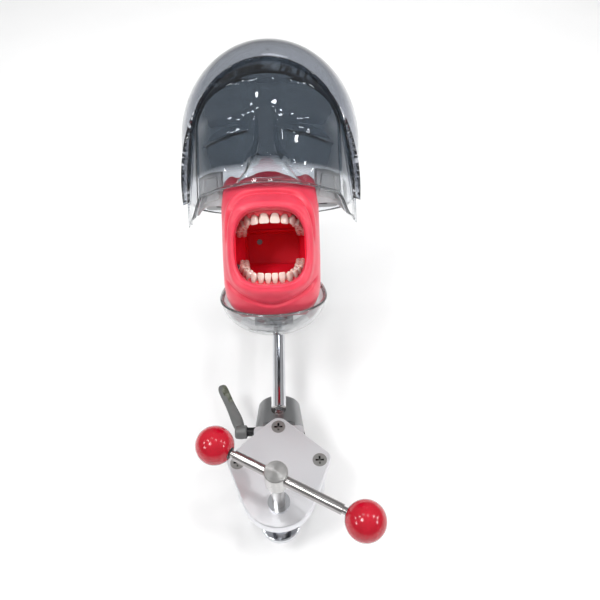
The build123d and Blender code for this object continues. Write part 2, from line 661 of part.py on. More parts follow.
def main():
    os.makedirs("parts", exist_ok=True)
    make_clamp()
    make_ball_housing()
    make_clamp_screw()
    make_lock_lever()
    make_post_and_neck()
    upper_high = make_arch("upper", UPPER_ARCH, UPPER_TEETH, UPPER, 6.0, flip=False)
    lower_high = make_arch("lower", LOWER_ARCH, LOWER_TEETH, LOWER, 8.0, flip=True)
    make_skull_frame(upper_high)
    make_mask_supports()
    make_shells()
    make_shroud()
    make_mandible(lower_high)


main()
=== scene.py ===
import json
import math
from collections import namedtuple

import bmesh
import bpy
import numpy as np
from mathutils import Matrix, Vector


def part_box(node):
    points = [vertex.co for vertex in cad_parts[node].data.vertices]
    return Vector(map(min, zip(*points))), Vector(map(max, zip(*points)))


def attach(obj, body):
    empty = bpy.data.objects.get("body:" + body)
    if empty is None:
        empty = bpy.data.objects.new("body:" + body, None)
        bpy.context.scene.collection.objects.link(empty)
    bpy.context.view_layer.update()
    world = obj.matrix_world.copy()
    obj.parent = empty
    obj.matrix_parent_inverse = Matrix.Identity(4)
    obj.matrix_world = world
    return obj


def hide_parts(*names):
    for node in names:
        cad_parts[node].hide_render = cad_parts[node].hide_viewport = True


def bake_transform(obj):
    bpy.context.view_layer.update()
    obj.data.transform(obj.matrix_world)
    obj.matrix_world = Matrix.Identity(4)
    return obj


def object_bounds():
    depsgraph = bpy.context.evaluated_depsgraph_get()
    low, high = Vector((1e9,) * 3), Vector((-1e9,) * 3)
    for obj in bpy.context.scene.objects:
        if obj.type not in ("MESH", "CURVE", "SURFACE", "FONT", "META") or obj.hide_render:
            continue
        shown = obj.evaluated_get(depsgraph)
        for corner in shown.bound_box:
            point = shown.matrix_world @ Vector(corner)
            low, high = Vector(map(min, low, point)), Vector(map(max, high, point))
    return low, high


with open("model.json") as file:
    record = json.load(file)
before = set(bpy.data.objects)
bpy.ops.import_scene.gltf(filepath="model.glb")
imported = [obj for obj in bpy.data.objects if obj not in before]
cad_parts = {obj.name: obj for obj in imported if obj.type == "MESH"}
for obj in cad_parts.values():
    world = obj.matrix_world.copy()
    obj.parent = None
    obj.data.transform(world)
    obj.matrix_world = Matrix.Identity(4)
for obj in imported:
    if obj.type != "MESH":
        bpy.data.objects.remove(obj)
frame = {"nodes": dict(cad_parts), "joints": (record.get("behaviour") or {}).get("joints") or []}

CAD_LOW, CAD_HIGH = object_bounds()
MM = 0.001
SAME_POINT = 1e-6

# The head's lean and the two bite planes: degrees about X at the jaw hinge.
HEAD_LEAN = -49.3
UPPER_BITE = -9.5
LOWER_BITE = 21.4

# Heights over a bite frame's origin, in millimetres.
BITE_Z = 3.5  # the plane where the two arches meet
BITE_GAP = 0.3  # from that plane to the biting edges
CROWN = 8.5  # a usual crown's height

JOINTS = {joint["name"]: joint for joint in frame["joints"]}


def turn_x(angle):
    return Matrix.Rotation(math.radians(angle), 4, "X")


HEAD = Matrix.Translation(Vector(JOINTS["jaw_close"]["pos_m"])) @ turn_x(HEAD_LEAN)
UPPER = HEAD @ turn_x(UPPER_BITE)
LOWER = HEAD @ turn_x(LOWER_BITE)
WORLD = Matrix.Identity(4)


# ---------- mesh helpers ----------

def grid_faces(rows, columns, wrap_rows=False, wrap_columns=False, first=0):
    """Quads of a grid of points stored row by row."""
    faces = []
    for i in range(rows if wrap_rows else rows - 1):
        for j in range(columns if wrap_columns else columns - 1):
            i2, j2 = (i + 1) % rows, (j + 1) % columns
            faces.append([first + i * columns + j, first + i * columns + j2,
                          first + i2 * columns + j2, first + i2 * columns + j])
    return faces


def turns(count):
    """The angles of equal steps once round."""
    return [2 * math.pi * k / count for k in range(count)]


def caps(rows, columns):
    """The two end faces of a tube of points stored row by row."""
    return [list(range(columns))[::-1], [(rows - 1) * columns + k for k in range(columns)]]


def piece(name, points, faces, material, body, replaces, place=WORLD):
    """A smooth mesh from points in millimetres, riding on a body if one is named."""
    mesh = bpy.data.meshes.new(name)
    mesh.from_pydata([place @ (Vector(p) * MM) for p in points], [], faces)
    work = bmesh.new()
    work.from_mesh(mesh)
    bmesh.ops.remove_doubles(work, verts=work.verts, dist=SAME_POINT)
    bmesh.ops.recalc_face_normals(work, faces=work.faces)
    work.to_mesh(mesh)
    work.free()
    mesh.shade_smooth()
    obj = bpy.data.objects.new(name, mesh)
    bpy.context.collection.objects.link(obj)
    mesh.materials.append(material)
    if body:
        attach(obj, body)
    if replaces:
        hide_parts(*replaces)
    return obj


def add_modifier(obj, kind, **settings):
    modifier = obj.modifiers.new(kind.title(), kind)
    for key, value in settings.items():
        setattr(modifier, key, value)
    return modifier


def tube(path, radius, sides, closed=False):
    """Points and faces of a round tube along a list of points."""
    path = [Vector(p) for p in path]
    count = len(path)
    points = []
    # Any first direction that no path runs along will do.
    normal = Vector((0.123, 0.456, 0.789))
    for i, p in enumerate(path):
        before = path[(i - 1) % count] if closed or i else p
        after = path[(i + 1) % count] if closed or i < count - 1 else p
        along = (after - before).normalized()
        side = (normal - along * normal.dot(along)).normalized()
        up = along.cross(side)
        normal = side
        for angle in turns(sides):
            points.append(p + (side * math.cos(angle) + up * math.sin(angle)) * radius)
    faces = grid_faces(count, sides, wrap_rows=closed, wrap_columns=True)
    if not closed:
        faces += caps(count, sides)
    return points, faces


def revolve(profile, axis_start, axis_dir, sides):
    """Points and faces of a turned shape: profile is (distance along the axis, radius)."""
    axis_dir = Vector(axis_dir).normalized()
    side = axis_dir.orthogonal().normalized()
    up = axis_dir.cross(side)
    points = []
    for along, radius in profile:
        for angle in turns(sides):
            spoke = side * math.cos(angle) + up * math.sin(angle)
            points.append(Vector(axis_start) + axis_dir * along + spoke * radius)
    return points, grid_faces(len(profile), sides, wrap_columns=True)


def joined(parts):
    """Several (points, faces) lists as one."""
    points, faces = [], []
    for more_points, more_faces in parts:
        start = len(points)
        points += list(more_points)
        faces += [[start + i for i in face] for face in more_faces]
    return points, faces


def smoothstep(value, low, high):
    """0 below low, 1 above high, and a soft rise between them."""
    t = np.clip((value - low) / (high - low), 0, 1)
    return t * t * (3 - 2 * t)


def hill(value, centre, width):
    """A soft hill, 1 high at its centre."""
    return np.exp(-(((value - centre) / width) ** 2))


# ---------- materials ----------

class Nodes:
    """A short way to write a node material."""

    def __init__(self, name):
        self.material = bpy.data.materials.new(name)
        self.material.use_nodes = True
        self.tree = self.material.node_tree
        self.shader = self.tree.nodes["Principled BSDF"]
        self.coord = self.tree.nodes.new("ShaderNodeTexCoord")

    def set(self, **values):
        for key, value in values.items():
            self.shader.inputs[key.replace("_", " ")].default_value = value
        return self

    def node(self, kind, **inputs):
        made = self.tree.nodes.new(kind)
        for key, value in inputs.items():
            made.inputs[key.replace("_", " ")].default_value = value
        return made

    def link(self, source, target):
        self.tree.links.new(source, target)

    def noise(self, scale, detail=4.0, stretch=(1, 1, 1)):
        mapping = self.node("ShaderNodeMapping", Scale=stretch)
        self.link(self.coord.outputs["Object"], mapping.inputs["Vector"])
        noise = self.node("ShaderNodeTexNoise", Scale=scale, Detail=detail)
        self.link(mapping.outputs["Vector"], noise.inputs["Vector"])
        return noise.outputs["Fac"]

    def ramp(self, source, low, high, low_colour, high_colour):
        """Two colours, blended where the source goes from low to high."""
        ramp = self.tree.nodes.new("ShaderNodeValToRGB")
        ramp.color_ramp.elements[0].position = low
        ramp.color_ramp.elements[1].position = high
        ramp.color_ramp.elements[0].color = (*low_colour, 1)
        ramp.color_ramp.elements[1].color = (*high_colour, 1)
        self.link(source, ramp.inputs["Fac"])
        return ramp.outputs["Color"]

    def colour(self, source, low_colour, high_colour, low=0.3, high=0.7):
        self.link(self.ramp(source, low, high, low_colour, high_colour), self.shader.inputs["Base Color"])
        return self

    def roughness(self, source, low, high):
        span = self.node("ShaderNodeMapRange", To_Min=low, To_Max=high)
        self.link(source, span.inputs["Value"])
        self.link(span.outputs["Result"], self.shader.inputs["Roughness"])
        return self

    def bump(self, source, strength, distance):
        made = self.node("ShaderNodeBump", Strength=strength, Distance=distance)
        self.link(source, made.inputs["Height"])
        self.link(made.outputs["Normal"], self.shader.inputs["Normal"])
        return self


def metal(name, dark, light, rough, grain, stretch=(1, 1, 1), bump_strength=0.12, bump_size=0.00005,
          speckled=False):
    """Metal with a fine grain; its colour drifts broadly or, if speckled, follows the grain."""
    made = Nodes(name).set(Metallic=1.0)
    fine = made.noise(grain, 3.0, stretch)
    broad = made.noise(28.0, 2.0)
    made.colour(fine if speckled else broad, dark, light).roughness(fine, *rough)
    return made.bump(fine, bump_strength, bump_size).material


def turned_metal(name, dark, light):
    """Lathe-turned steel: fine rings about the part's axis, stretched highlights."""
    made = Nodes(name).set(Metallic=1.0, Anisotropic=0.75)
    rings = made.node("ShaderNodeTexWave", Scale=900.0, Distortion=0.6)
    rings.wave_type = "RINGS"
    rings.rings_direction = "Z"
    made.link(made.coord.outputs["Object"], rings.inputs["Vector"])
    tangent = made.node("ShaderNodeTangent")
    tangent.direction_type = "RADIAL"
    tangent.axis = "Z"
    made.link(tangent.outputs["Tangent"], made.shader.inputs["Tangent"])
    made.colour(made.noise(240.0, 3.0, (1, 1, 0.1)), dark, light)
    return made.roughness(rings.outputs["Fac"], 0.20, 0.34).bump(rings.outputs["Fac"], 0.10, 0.00004).material


PAINTED_SHADE_REACH = 0.002


def screw_metal_with_painted_shade(name, dark, light):
    """Plated screw steel with painted shade: its colour darkens where the surface is shut in, as in a cross
    recess.
    """
    made = Nodes(name).set(Metallic=1.0)
    # Painted shade: ambient occlusion darkens the colour inside the cross recess.
    occlusion_shade = made.node("ShaderNodeAmbientOcclusion", Distance=PAINTED_SHADE_REACH)
    made.colour(occlusion_shade.outputs["AO"], dark, light, low=0.35, high=0.85)
    fine = made.noise(700.0, 3.0)
    return made.roughness(fine, 0.28, 0.46).bump(fine, 0.12, 0.00005).material


def red_phenolic():
    """Glossy red knob plastic with a faint mottle."""
    made = Nodes("glossy_red_phenolic").set(Coat_Weight=0.35, Coat_Roughness=0.04, IOR=1.42)
    mottle = made.noise(90.0, 5.0)
    made.colour(mottle, (0.38, 0.0008, 0.012), (0.46, 0.002, 0.018)).roughness(mottle, 0.12, 0.22)
    return made.bump(made.noise(420.0, 2.0), 0.03, 0.0001).material


def coated_zinc():
    """The lever's grey coated casting."""
    made = Nodes("grey_coated_zinc").set(Metallic=0.35)
    skin = made.noise(1400.0, 4.0)
    made.colour(made.noise(40.0), (0.13, 0.133, 0.13), (0.19, 0.193, 0.19), low=0.35, high=0.65)
    return made.roughness(skin, 0.36, 0.55).bump(skin, 0.5, 0.00012).material


def worn_coating():
    """The lever's worn and stained tip."""
    made = Nodes("worn_lever_tip").set(Metallic=0.2)
    made.colour(made.noise(220.0, 6.0), (0.05, 0.055, 0.035), (0.2, 0.21, 0.17), low=0.35)
    return made.roughness(made.noise(300.0), 0.4, 0.7).bump(made.noise(900.0), 0.4, 0.0001).material


def silicone(name, dark, light, rough, shine):
    """Soft silicone that carries some light under its skin."""
    made = Nodes(name).set(
        Subsurface_Weight=0.25, Subsurface_Scale=0.003, Subsurface_Radius=(1.0, 0.35, 0.3),
        Specular_IOR_Level=shine, Coat_Weight=shine / 3, Coat_Roughness=0.25)
    made.colour(made.noise(60.0, 4.0), dark, light).roughness(made.noise(500.0), *rough)
    return made.bump(made.noise(900.0, 3.0), 0.10, 0.00012).material


def tooth_resin():
    """Ivory tooth resin, glossy and a little translucent."""
    made = Nodes("ivory_tooth_resin").set(
        Subsurface_Weight=0.35, Subsurface_Scale=0.002, Subsurface_Radius=(1.0, 0.8, 0.6),
        Coat_Weight=0.6, Coat_Roughness=0.08, IOR=1.55)
    made.colour(made.noise(160.0, 4.0), (0.74, 0.62, 0.545), (0.84, 0.74, 0.67))
    return made.roughness(made.noise(300.0), 0.16, 0.3).bump(made.noise(500.0), 0.08, 0.0001).material


def natural_acetal():
    """Milky white acetal."""
    made = Nodes("natural_acetal")
    made.colour(made.noise(80.0), (0.72, 0.72, 0.68), (0.80, 0.80, 0.77))
    return made.roughness(made.noise(400.0), 0.35, 0.5).bump(made.noise(800.0), 0.1, 0.0001).material


def clear_plastic():
    """Clear polycarbonate with faint waves in its surface."""
    made = Nodes("clear_polycarbonate").set(
        Transmission_Weight=1.0, IOR=1.45, Coat_Weight=0.4, Coat_Roughness=0.03)
    made.colour(made.noise(14.0, 2.0), (0.60, 0.61, 0.62), (0.72, 0.73, 0.74))
    return made.roughness(made.noise(60.0), 0.02, 0.06).bump(made.noise(45.0, 2.0), 0.12, 0.0008).material


def shade_darkened_clear(name, light, dark, start, end):
    """Clear plastic with painted shade: its colour darkens up the head, between two heights in millimetres,
    for the dark seen through it.
    """
    made = Nodes(name).set(Transmission_Weight=1.0, IOR=1.36, Coat_Weight=0.1, Coat_Roughness=0.03)
    upwards = (HEAD.to_3x3() @ Vector((0, 0, 1))).normalized()
    along = made.node("ShaderNodeVectorMath")
    along.operation = "DOT_PRODUCT"
    along.inputs[1].default_value = upwards
    made.link(made.coord.outputs["Object"], along.inputs[0])
    hinge = upwards.dot(HEAD.translation)
    span = made.node("ShaderNodeMapRange", From_Min=hinge + start * MM, From_Max=hinge + end * MM)
    made.link(along.outputs["Value"], span.inputs["Value"])
    # Painted shade: the colour goes from clear to dark up the head.
    made.link(made.ramp(span.outputs["Result"], 0.0, 1.0, light, dark), made.shader.inputs["Base Color"])
    return made.roughness(made.noise(60.0), 0.02, 0.05).bump(made.noise(45.0, 2.0), 0.12, 0.0008).material


def frosted_plastic():
    """Frosted polycarbonate of the corner clips."""
    made = Nodes("frosted_polycarbonate").set(Transmission_Weight=0.55, IOR=1.4)
    made.colour(made.noise(120.0), (0.62, 0.62, 0.63), (0.72, 0.72, 0.73))
    return made.roughness(made.noise(700.0), 0.35, 0.6).bump(made.noise(1200.0), 0.3, 0.0001).material


CLEAR_TONE = (0.86, 0.88, 0.90)

MATERIALS = {
    "bead_blasted": metal(
        "bead_blasted_aluminium", (0.60, 0.605, 0.63), (0.92, 0.925, 0.95), (0.30, 0.60),
        grain=2600.0, bump_strength=0.5, bump_size=0.00010, speckled=True),
    "cast": metal(
        "satin_cast_aluminium", (0.26, 0.265, 0.27), (0.33, 0.335, 0.34), (0.30, 0.44),
        grain=1500.0, bump_strength=0.3),
    "zinc_steel": metal(
        "zinc_plated_steel", (0.20, 0.20, 0.195), (0.32, 0.32, 0.31), (0.28, 0.46),
        grain=700.0),
    # Screw steel with painted shade in its cross recesses.
    "steel_with_recess_shade": screw_metal_with_painted_shade("zinc_plated_screw_painted_shade", (0.012, 0.012, 0.012), (0.34, 0.34, 0.33)),
    "polished": metal(
        "polished_stainless", (0.32, 0.31, 0.305), (0.46, 0.44, 0.435), (0.14, 0.24),
        grain=600.0, bump_strength=0.03),
    "turned": turned_metal("turned_stainless", (0.44, 0.435, 0.43), (0.60, 0.595, 0.585)),
    "chrome": metal(
        "chrome_plate", (0.62, 0.63, 0.66), (0.72, 0.73, 0.76), (0.05, 0.12),
        grain=300.0, bump_strength=0.02),
    "sheet_steel": metal(
        "brushed_sheet_steel", (0.15, 0.155, 0.16), (0.23, 0.235, 0.24), (0.28, 0.42),
        grain=500.0, stretch=(1, 8, 8)),
    "black_steel": metal(
        "black_oxide_steel", (0.02, 0.02, 0.022), (0.05, 0.05, 0.05), (0.3, 0.5),
        grain=900.0),
    "red": red_phenolic(),
    "grey_zinc": coated_zinc(),
    "lever_tip": worn_coating(),
    "pink": silicone("pink_silicone", (0.68, 0.042, 0.078), (0.76, 0.058, 0.100), (0.30, 0.42), shine=0.4),
    "deep_red": silicone("deep_red_silicone", (0.84, 0.008, 0.030), (0.92, 0.016, 0.046), (0.48, 0.62),
                         shine=0.15),
    "gum": silicone("gum_silicone", (0.58, 0.034, 0.050), (0.68, 0.055, 0.075), (0.24, 0.36), shine=0.5),
    "enamel": tooth_resin(),
    "acetal": natural_acetal(),
    "clear": clear_plastic(),
    # Painted shade on the skull shell and the mask, darker up the head.
    "shell": shade_darkened_clear("clear_shell_polycarbonate_painted_shade", CLEAR_TONE, (0.50, 0.52, 0.56), start=50.0, end=62.0),
    "mask": shade_darkened_clear("clear_mask_polycarbonate_painted_shade", CLEAR_TONE, (0.10, 0.125, 0.15), start=57.0, end=64.0),
    "frost": frosted_plastic(),
}

CAD_FINISH = {
    "bead_blasted": ["front_plate", "clamp_block", "fixed_jaw"],
    "cast": ["ball_housing", "neck_block"],
    "steel_with_recess_shade": ["plate_screws", "jaw_screws"],
    "zinc_steel": ["lever_screw", "neck_axle", "neck_nuts", "yoke_screws",
                   "jaw_pins", "upper_arch_screw", "lower_arch_screw", "chin_bracket_screws"],
    "chrome": ["post", "screw_bushing", "pressure_pad"],
    "turned": ["spindle", "pad_retainer"],
    "polished": ["t_bar", "swivel_ball"],
    "black_steel": ["knob_inserts", "housing_bolts", "lock_stud", "neck_thumbscrew", "lever_spring"],
    "acetal": ["ball_seat", "neck_spacers"],
    "sheet_steel": ["skull_frame", "mask_yoke", "mandible_frame"],
    "deep_red": ["mouth_liner", "liner_screws", "lower_arch_plate", "upper_arch_plate"],
    "clear": ["chin_bracket"],
}


def finish_cad_parts():
    for finish, names in CAD_FINISH.items():
        for name in names:
            obj = frame["nodes"][name]
            obj.data.materials.clear()
            obj.data.materials.append(MATERIALS[finish])


# ---------- clamp details ----------

KNOB_FLAT = 5.6
KNOB_RECESS, KNOB_RECESS_DEPTH = 4.7, 2.0
KNOB_STEPS = 48
ON_AXIS = 0.01


def make_knobs():
    """Phenolic ball knobs: a turned ball with a flat, a lip and a recess at the insert."""
    bar = JOINTS["t_bar_slide"]["axis"]
    for name, sign in (("left_knob", -1), ("right_knob", 1)):
        low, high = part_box(name)
        centre = (Vector(low) + Vector(high)) / 2 / MM
        radius = (high[2] - low[2]) / 2 / MM
        inward = Vector(bar) * -sign
        end = math.degrees(math.asin(KNOB_FLAT / radius))
        profile = [(-radius, ON_AXIS)]
        for i in range(1, KNOB_STEPS + 1):
            angle = math.radians(180 - (180 - end) * i / KNOB_STEPS)
            profile.append((radius * math.cos(angle), radius * math.sin(angle)))
        flat = radius * math.cos(math.radians(end))
        floor = flat - KNOB_RECESS_DEPTH
        profile += [(flat + 0.25, KNOB_FLAT - 0.5), (flat, KNOB_RECESS + 0.2), (floor, KNOB_RECESS),
                    (floor, ON_AXIS)]
        points, faces = revolve(profile, centre, inward, 72)
        piece(f"{name}_ball", points, faces, MATERIALS["red"], "t_bar", [name])


LEVER_HUB_X = -40.0
LEVER_HUB = [(-0.4, 4.7), (0.0, 5.4), (0.9, 6.3), (9.6, 6.3), (10.5, 5.6), (10.5, 4.6)]
# The arm's spine, from the hub to the tip: x, y, width and depth.
LEVER_ARM = [
    (-36.0, 82.5, 8.4, 8.0), (-37.6, 88.0, 10.6, 8.4), (-40.0, 94.5, 10.8, 7.6),
    (-43.2, 102.0, 9.6, 6.6), (-46.8, 110.0, 8.8, 6.2), (-50.3, 118.0, 9.2, 6.4),
    (-53.3, 125.0, 9.8, 6.8), (-54.9, 129.5, 8.2, 5.6), (-55.4, 131.2, 3.4, 2.2),
]
LEVER_SIDES = 24
LEVER_ROUND = 0.7
WORN_LENGTH, WORN_X = 0.017, -0.0535


def make_lever():
    """Die-cast lever: a chamfered hub and a curved, swelling arm with a worn tip."""
    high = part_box("lever_arm")[1]
    hinge = Vector(JOINTS["lock_lever_turn"]["pos_m"]) / MM
    hub = revolve(LEVER_HUB, (LEVER_HUB_X, hinge.y, hinge.z), (1, 0, 0), 48)
    points = []
    for i, (x, y, width, depth) in enumerate(LEVER_ARM):
        before, after = LEVER_ARM[max(i - 1, 0)], LEVER_ARM[min(i + 1, len(LEVER_ARM) - 1)]
        along = Vector((after[0] - before[0], after[1] - before[1], 0)).normalized()
        across = Vector((along.y, -along.x, 0))
        for angle in turns(LEVER_SIDES):
            c, s = math.cos(angle), math.sin(angle)
            wide = math.copysign(abs(c) ** LEVER_ROUND, c) * width / 2
            deep = math.copysign(abs(s) ** LEVER_ROUND, s) * depth / 2
            points.append(Vector((x, y, hinge.z)) + across * wide + Vector((0, 0, deep)))
    rows = len(LEVER_ARM)
    faces = grid_faces(rows, LEVER_SIDES, wrap_columns=True) + caps(rows, LEVER_SIDES)
    points, faces = joined([hub, (points, faces)])
    lever = piece("lock_lever_arm", points, faces, MATERIALS["grey_zinc"], "lever", ["lever_arm"])
    lever.data.materials.append(MATERIALS["lever_tip"])
    for face in lever.data.polygons:
        if face.center.y > high[1] - WORN_LENGTH and face.center.x > WORN_X:
            face.material_index = 1
    add_modifier(lever, "SUBSURF", levels=1, render_levels=2)


# ---------- typodont ----------

Arch = namedtuple("Arch", "half_width depth front")
UPPER_ARCH = Arch(25.5, 45.0, -75.5)
LOWER_ARCH = Arch(24.0, 42.5, -72.4)
ARCH_POWER = 2.5

# From the midline back: kind, width along the arch, thickness across it and height of the crown.
UPPER_TEETH = [
    ("incisors", 8.4, 6.6, 7.5), ("incisors", 7.2, 6.0, 7.2), ("canines", 7.9, 7.4, 7.8),
    ("premolars", 7.0, 8.6, 7.2), ("premolars", 6.7, 8.8, 7.0), ("molars", 10.0, 10.6, 6.8),
    ("molars", 9.6, 10.4, 6.4),
]
LOWER_TEETH = [
    ("incisors", 5.4, 5.6, 7.8), ("incisors", 5.9, 5.8, 7.8), ("canines", 6.9, 7.0, 8.2),
    ("premolars", 7.1, 7.6, 7.4), ("premolars", 7.2, 8.0, 7.2), ("molars", 11.0, 9.8, 6.8),
    ("molars", 10.2, 9.6, 6.4),
]

# edge: thickness at the bite; wide and neck: width at the bite and at the gum; deep: depth of the
# bite's relief in millimetres; square: how square the crown is, seen from the bite.
Shape = namedtuple("Shape", "edge wide neck cusps deep square")
SHAPES = {
    "incisors": Shape(0.30, 0.98, 0.74, 0, 0.0, 3.4),
    "canines": Shape(0.42, 0.86, 0.72, 1, 1.2, 2.6),
    "premolars": Shape(0.70, 0.86, 0.74, 2, 1.5, 2.5),
    "molars": Shape(0.80, 0.90, 0.84, 4, 1.4, 2.9),
}
TOOTH_SIDES = 40
TOOTH_LEVELS = [0.0, 0.03, 0.09, 0.18, 0.32, 0.48, 0.64, 0.8, 0.92, 1.0]
ROOT_STUB = [(1.5, 0.86), (3.0, 0.6)]
BITE_RINGS = 6
CONTACT = 0.985
WIDTH_SCATTER = 0.012
OVERBITE = 0.5


def arch_curve(arch, count=600):
    """Distance from the midline, x and y along one half of the superellipse arch."""
    t = np.linspace(0, math.pi / 2, count)
    x = arch.half_width * np.sin(t) ** (2 / ARCH_POWER)
    y = arch.front + arch.depth * (1 - np.cos(t) ** (2 / ARCH_POWER))
    run = np.concatenate([[0], np.cumsum(np.hypot(np.diff(x), np.diff(y)))])
    return run, x, y


def arch_at(arch, run_at):
    """Place and tangent angle at a signed distance from the midline."""
    run, x, y = arch_curve(arch)
    side = -1 if run_at < 0 else 1
    d = abs(run_at)
    step = 0.8
    px, py = np.interp(d, run, x), np.interp(d, run, y)
    before = max(d - step, 0.0)
    ax, ay = np.interp(d + step, run, x), np.interp(d + step, run, y)
    bx, by = np.interp(before, run, x), np.interp(before, run, y)
    if d < step:
        bx, by = -ax, ay
    return side * px, py, side * math.atan2(ay - by, ax - bx)


def tooth_mesh(kind, width, thickness, height, seed):
    """A closed crown with its root stub: the biting edge is at z = 0, the root points up."""
    shape = SHAPES[kind]
    power = 2 / shape.square
    rng = np.random.default_rng(seed)
    scatter = 1 + rng.uniform(-WIDTH_SCATTER, WIDTH_SCATTER)
    points = []
    for level in TOOTH_LEVELS:
        round_in = 1 - 0.16 * (1 - smoothstep(level, 0, 0.16)) ** 2
        belly = 1 - (1 - shape.neck) * smoothstep(level, 0.35, 1.0)
        spread = shape.wide + (1 - shape.wide) * smoothstep(level, 0.0, 0.4)
        w = width * CONTACT * spread * belly * round_in
        thick_low = shape.edge * (1 - 0.45 * (1 - smoothstep(level, 0, 0.08)))
        t = thickness * (thick_low + (0.94 - thick_low) * smoothstep(level, 0, 0.75)) * (1 - 0.1 * level**4)
        lean = (1 - level) ** 1.6 * thickness * 0.16 if kind in ("incisors", "canines") else 0.0
        for angle in turns(TOOTH_SIDES):
            c, s = math.cos(angle), math.sin(angle)
            px = math.copysign(abs(c) ** power, c) * w / 2
            py = math.copysign(abs(s) ** power, s) * t / 2
            px *= 1 - 0.10 * smoothstep(s, 0.0, 1.0)
            points.append([px * scatter, py - lean, level * height])
    neck = points[-TOOTH_SIDES:]
    for depth, size in ROOT_STUB:
        points += [[px * size, py * size, height + depth] for px, py, _ in neck]
    rows = len(TOOTH_LEVELS) + len(ROOT_STUB)
    faces = grid_faces(rows, TOOTH_SIDES, wrap_columns=True)

    rim = points[:TOOTH_SIDES]
    middle = sum(p[1] for p in rim) / len(rim)
    start = len(points)
    for i in range(1, BITE_RINGS + 1):
        f = 1 - i / (BITE_RINGS + 0.35)
        points += [[px * f, (py - middle) * f + middle, 0.0] for px, py, _ in rim]
    for k in range(TOOTH_SIDES):
        k2 = (k + 1) % TOOTH_SIDES
        faces.append([k2, k, start + k, start + k2])
    faces += [face[::-1] for face in grid_faces(BITE_RINGS, TOOTH_SIDES, wrap_columns=True, first=start)]
    faces.append([start + (BITE_RINGS - 1) * TOOTH_SIDES + k for k in range(TOOTH_SIDES)])
    faces.append([(rows - 1) * TOOTH_SIDES + k for k in range(TOOTH_SIDES)])
    points = np.array(points, float)
    points[:, 2] += bite_relief(shape, points, width, thickness)
    return points, faces


def bite_relief(shape, points, width, thickness):
    """Lifts the biting surface into cusps, grooves or a thin edge; cusp tips stay at z = 0."""
    x = points[:, 0] / (width / 2)
    y = points[:, 1] / (thickness / 2)
    near = 1 - smoothstep(points[:, 2], 0.0, 3.2)
    if shape.cusps == 0:
        return near * (0.35 * np.abs(x) ** 4)
    if shape.cusps == 1:
        return near * shape.deep * np.clip(np.abs(x) - 0.05, 0, 1) ** 1.2
    if shape.cusps == 2:
        valley = hill(y, 0.05, 0.28)
        flank = 0.8 * np.abs(x) ** 2
        return near * shape.deep * (valley + flank) * 0.7
    valley = np.maximum(hill(y, 0.02, 0.22), hill(x, 0.0, 0.2))
    edge = 1.4 * np.clip(np.maximum(np.abs(x), np.abs(y)) - 0.75, 0, 1)
    return near * shape.deep * (valley + edge) * 0.65


def make_arch(prefix, arch, teeth, place, body, flip):
    """Teeth by kind, and the scalloped gum that holds them."""
    groups, marks = {}, []
    run = 0.0
    for index, (kind, width, thickness, height) in enumerate(teeth):
        run += width / 2
        for side in (-1, 1):
            x, y, angle = arch_at(arch, side * run)
            points, faces = tooth_mesh(kind, width, thickness, height, 10 * index + side + 1)
            c, s = math.cos(angle), math.sin(angle)
            overbite = OVERBITE if kind == "incisors" else 0.0
            lift = BITE_GAP - overbite + BITE_Z
            turned = [[x + c * px - s * py, y + s * px + c * py, pz + lift] for px, py, pz in points]
            groups.setdefault(kind, []).append((turned, faces))
            marks.append((side * run, width, height))
        run += width / 2

    def stand(points):
        return [[px, py, 2 * BITE_Z - pz] for px, py, pz in points] if flip else points

    for kind, parts in groups.items():
        points, faces = joined(parts)
        tooth = piece(f"{prefix}_{kind}_crowns", stand(points), faces, MATERIALS["enamel"], body,
                      [f"{prefix}_{kind}"], place)
        add_modifier(tooth, "SUBSURF", levels=1, render_levels=1)
    make_gum(prefix, arch, marks, run, place, body, stand)
    make_vault(prefix, arch, place, body, stand)


GUM_HALF = 4.6
GUM_BASE = {"upper": 7.5, "lower": 9.5}
GUM_SAMPLES = 261


def make_gum(prefix, arch, marks, length, place, body, stand):
    """A swept horseshoe whose margins scallop round each tooth and rise between them."""
    marks = sorted(marks)
    base = BITE_Z + BITE_GAP + CROWN + GUM_BASE[prefix]
    points = []
    for run in np.linspace(-length + 0.8, length - 0.8, GUM_SAMPLES):
        x, y, angle = arch_at(arch, run)
        centre, width, height = min(marks, key=lambda m: abs(m[0] - run) / m[1])
        off = min(abs(run - centre) / (width / 2), 1.0)
        margin = BITE_Z + BITE_GAP + height - 2.4 * off**2.2 - 0.2
        root = 0.55 * (1 - off**2)
        outer = GUM_HALF * (1 - 0.35 * smoothstep(abs(run), length - 4, length))
        inner = -outer
        profile = [
            (outer + 2.0 + root * 0.4, base), (outer + 2.2 + root * 0.6, base - 2.5),
            (outer + 1.6 + root, base - 5.0), (outer + 0.5 + root * 0.8, margin + 1.6),
            (outer - 0.5 + root * 0.5, margin + 0.35), (outer - 1.6, margin + 0.1),
            (0.0, margin + 0.6), (inner + 1.6, margin + 0.1), (inner + 0.3, margin + 0.5),
            (inner - 0.7, margin + 2.2), (inner - 1.6, base - 3.5), (inner - 2.0, base),
        ]
        nx, ny = math.sin(angle), -math.cos(angle)
        for offset, z in profile:
            points.append([x + nx * offset, y + ny * offset, max(z, margin) if z != base else z])
    columns = len(profile)
    faces = grid_faces(GUM_SAMPLES, columns, wrap_columns=True)
    faces += [cap[::-1] for cap in caps(GUM_SAMPLES, columns)]
    gum = piece(f"{prefix}_gum_ridge", stand(points), faces, MATERIALS["gum"], body, [f"{prefix}_gum"],
                place)
    add_modifier(gum, "SUBSURF", levels=1, render_levels=1)


VAULT_BACK, VAULT_RISE = -17.0, 4.2


